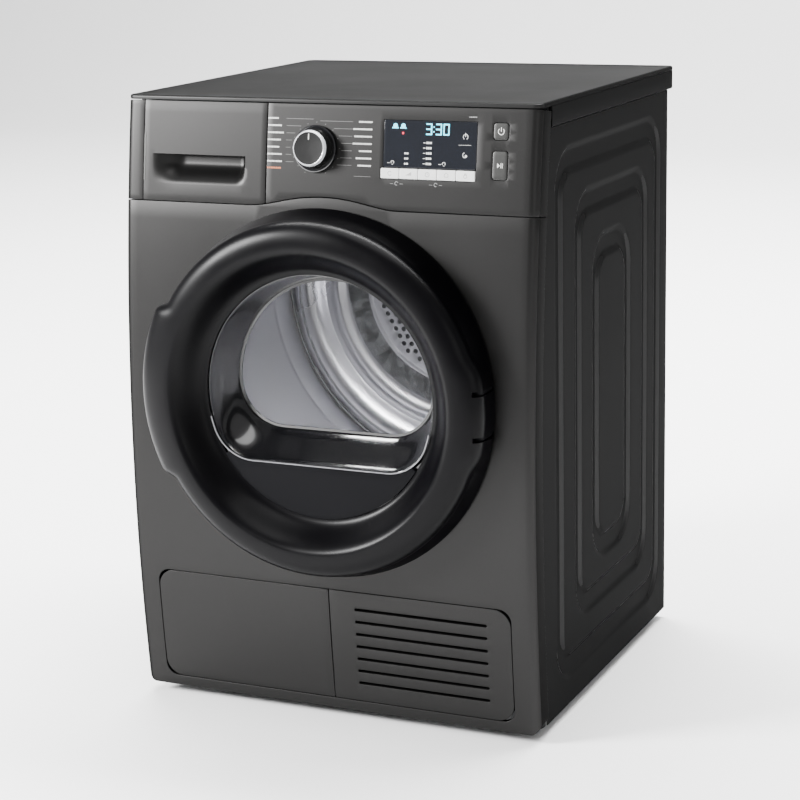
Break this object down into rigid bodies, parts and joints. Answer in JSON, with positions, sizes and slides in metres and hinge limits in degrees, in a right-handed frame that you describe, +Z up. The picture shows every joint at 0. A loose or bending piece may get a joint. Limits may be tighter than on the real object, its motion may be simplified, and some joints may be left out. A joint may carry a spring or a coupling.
{
  "type": "clothes dryer",
  "caption": "Free-standing heat-pump clothes dryer with a round right-hinged front door, a water drawer, a program knob and a lower service flap.",
  "frame": {"origin": "on the floor below the middle of the machine, halfway across its width and its full depth", "axes": "+Z up, -Y towards the front where the door is, +X to the right as seen from the front"},
  "size_m": [0.6, 0.65, 0.85],
  "materials": {
    "graphite_paint": "satin metallic",
    "black_paint": "satin",
    "zinc_steel": "satin",
    "drum_steel": "brushed, bright",
    "gloss_black": "gloss",
    "dark_plastic": "matte",
    "inner_plastic": "matte",
    "white_plastic": "satin",
    "tank_plastic": "satin",
    "seal_rubber": "matte",
    "felt": "felt",
    "display_glass": "gloss",
    "window_glass": "clear",
    "aluminium_fins": "satin",
    "copper_pipe": "satin, copper colour"
  },
  "bodies": {
    "cabinet": {"base_tray": "inner_plastic", "left_side_panel": "graphite_paint", "right_side_panel": "graphite_paint", "rear_panel": "zinc_steel", "rear_duct_cover": "zinc_steel", "front_panel": "graphite_paint", "worktop": "graphite_paint", "control_panel": "graphite_paint", "display_window": "display_glass", "tank_guide": "inner_plastic", "front_bulkhead": "dark_plastic", "rear_bulkhead": "drum_steel", "air_grille": "drum_steel", "drum_seals": "felt", "door_seal": "seal_rubber", "hinge_bracket": "zinc_steel", "latch_housing": "dark_plastic", "drive_belt": "seal_rubber", "motor": "zinc_steel", "compressor": "black_paint", "evaporator": "aluminium_fins", "condenser": "aluminium_fins", "refrigerant_pipes": "copper_pipe", "condensate_pump": "inner_plastic", "grille_panel": "graphite_paint", "heat_exchanger_cover": "inner_plastic", "mains_inlet": "dark_plastic", "rear_feet": "seal_rubber"},
    "drum": {"drum_cylinder": "drum_steel", "drum_lifters": "inner_plastic"},
    "door": {"door_ring": "gloss_black", "door_frame": "dark_plastic", "door_window": "window_glass", "door_lower_plate": "gloss_black", "door_striker": "zinc_steel"},
    "latch_hook": {"latch_hook": "white_plastic"},
    "lint_filter": {"lint_filter_outer": "dark_plastic", "lint_filter_inner": "inner_plastic"},
    "lower_flap": {"heat_exchanger_flap": "graphite_paint"},
    "left_turn_latch": {"left_turn_latch": "inner_plastic"},
    "right_turn_latch": {"right_turn_latch": "inner_plastic"},
    "water_drawer": {"drawer_front": "graphite_paint", "water_tank": "tank_plastic"},
    "program_knob": {"program_knob": "gloss_black"},
    "power_button": {"power_button": "graphite_paint"},
    "start_button": {"start_button": "graphite_paint"},
    "option_button_1": {"option_button_1": "white_plastic"},
    "option_button_2": {"option_button_2": "white_plastic"},
    "option_button_3": {"option_button_3": "white_plastic"},
    "option_button_4": {"option_button_4": "white_plastic"},
    "option_button_5": {"option_button_5": "white_plastic"},
    "motor_rotor": {"motor_shaft": "zinc_steel", "blower_wheel": "dark_plastic"},
    "idler_arm": {"idler_arm": "zinc_steel"},
    "idler_pulley": {"idler_pulley": "dark_plastic"},
    "cooling_fan": {"cooling_fan": "dark_plastic"},
    "left_roller": {"left_roller": "seal_rubber"},
    "right_roller": {"right_roller": "seal_rubber"},
    "left_front_foot": {"left_front_foot": "seal_rubber"},
    "right_front_foot": {"right_front_foot": "seal_rubber"}
  },
  "joints": [
    {"name": "drum_spin", "type": "hinge", "parent": "cabinet", "child": "drum", "pos_m": [0, 0.01, 0.52], "axis": [0, 1, 0], "continuous": true},
    {"name": "door_hinge", "type": "hinge", "parent": "cabinet", "child": "door", "pos_m": [0.236, -0.3, 0.46], "axis": [0, 0, 1], "range_deg": [0, 150]},
    {"name": "latch_pivot", "type": "hinge", "parent": "cabinet", "child": "latch_hook", "pos_m": [-0.22, -0.251, 0.46], "axis": [0, 0, 1], "range_deg": [-16, 0], "stiffness_Nm_per_rad": 0.02},
    {"name": "lint_filter_lift", "type": "slide", "parent": "cabinet", "child": "lint_filter", "axis": [0, 0, 1], "range_m": [0, 0.18]},
    {"name": "lower_flap_hinge", "type": "hinge", "parent": "cabinet", "child": "lower_flap", "pos_m": [-0.136, -0.25507, 0.0365], "axis": [1, 0, 0], "range_deg": [0, 62]},
    {"name": "left_latch_turn", "type": "hinge", "parent": "cabinet", "child": "left_turn_latch", "pos_m": [-0.222, -0.24, 0.122], "axis": [0, 1, 0], "range_deg": [0, 90]},
    {"name": "right_latch_turn", "type": "hinge", "parent": "cabinet", "child": "right_turn_latch", "pos_m": [-0.054, -0.24, 0.122], "axis": [0, 1, 0], "range_deg": [-90, 0]},
    {"name": "water_drawer_slide", "type": "slide", "parent": "cabinet", "child": "water_drawer", "axis": [0, -1, 0], "range_m": [0, 0.38]},
    {"name": "program_knob_turn", "type": "hinge", "parent": "cabinet", "child": "program_knob", "pos_m": [-0.012, -0.24315, 0.786], "axis": [0, -0.9894, 0.1453], "continuous": true},
    {"name": "power_button_press", "type": "slide", "parent": "cabinet", "child": "power_button", "axis": [0, 1, 0], "range_m": [0, 0.0015], "stiffness_N_per_m": 300},
    {"name": "start_button_press", "type": "slide", "parent": "cabinet", "child": "start_button", "axis": [0, 1, 0], "range_m": [0, 0.0015], "stiffness_N_per_m": 300},
    {"name": "option_button_1_press", "type": "slide", "parent": "cabinet", "child": "option_button_1", "axis": [0, 1, 0], "range_m": [0, 0.0015], "stiffness_N_per_m": 300},
    {"name": "option_button_2_press", "type": "slide", "parent": "cabinet", "child": "option_button_2", "axis": [0, 1, 0], "range_m": [0, 0.0015], "stiffness_N_per_m": 300},
    {"name": "option_button_3_press", "type": "slide", "parent": "cabinet", "child": "option_button_3", "axis": [0, 1, 0], "range_m": [0, 0.0015], "stiffness_N_per_m": 300},
    {"name": "option_button_4_press", "type": "slide", "parent": "cabinet", "child": "option_button_4", "axis": [0, 1, 0], "range_m": [0, 0.0015], "stiffness_N_per_m": 300},
    {"name": "option_button_5_press", "type": "slide", "parent": "cabinet", "child": "option_button_5", "axis": [0, 1, 0], "range_m": [0, 0.0015], "stiffness_N_per_m": 300},
    {"name": "motor_spin", "type": "hinge", "parent": "cabinet", "child": "motor_rotor", "pos_m": [0.165, 0.1, 0.118], "axis": [0, 1, 0], "continuous": true},
    {"name": "idler_arm_swing", "type": "hinge", "parent": "cabinet", "child": "idler_arm", "pos_m": [0.102, 0.008, 0.084], "axis": [0, 1, 0], "range_deg": [-12, 0], "stiffness_Nm_per_rad": 10},
    {"name": "idler_spin", "type": "hinge", "parent": "idler_arm", "child": "idler_pulley", "pos_m": [0.06, 0, 0.165], "axis": [0, 1, 0], "continuous": true},
    {"name": "cooling_fan_spin", "type": "hinge", "parent": "cabinet", "child": "cooling_fan", "pos_m": [0.15, -0.226, 0.108], "axis": [0, 1, 0], "continuous": true},
    {"name": "left_roller_spin", "type": "hinge", "parent": "cabinet", "child": "left_roller", "pos_m": [-0.19726, 0.167, 0.26752], "axis": [0, 1, 0], "continuous": true},
    {"name": "right_roller_spin", "type": "hinge", "parent": "cabinet", "child": "right_roller", "pos_m": [0.19726, 0.167, 0.26752], "axis": [0, 1, 0], "continuous": true},
    {"name": "left_front_foot_height", "type": "slide", "parent": "cabinet", "child": "left_front_foot", "axis": [0, 0, 1], "range_m": [-0.02, 0]},
    {"name": "right_front_foot_height", "type": "slide", "parent": "cabinet", "child": "right_front_foot", "axis": [0, 0, 1], "range_m": [-0.02, 0]}
  ],
  "couplings": [
    {"joint": "motor_spin", "follows": "drum_spin", "ratio": 23.328},
    {"joint": "idler_spin", "follows": "drum_spin", "ratio": -18.724},
    {"joint": "left_roller_spin", "follows": "drum_spin", "ratio": -7.8722},
    {"joint": "right_roller_spin", "follows": "drum_spin", "ratio": -7.8722}
  ]
}
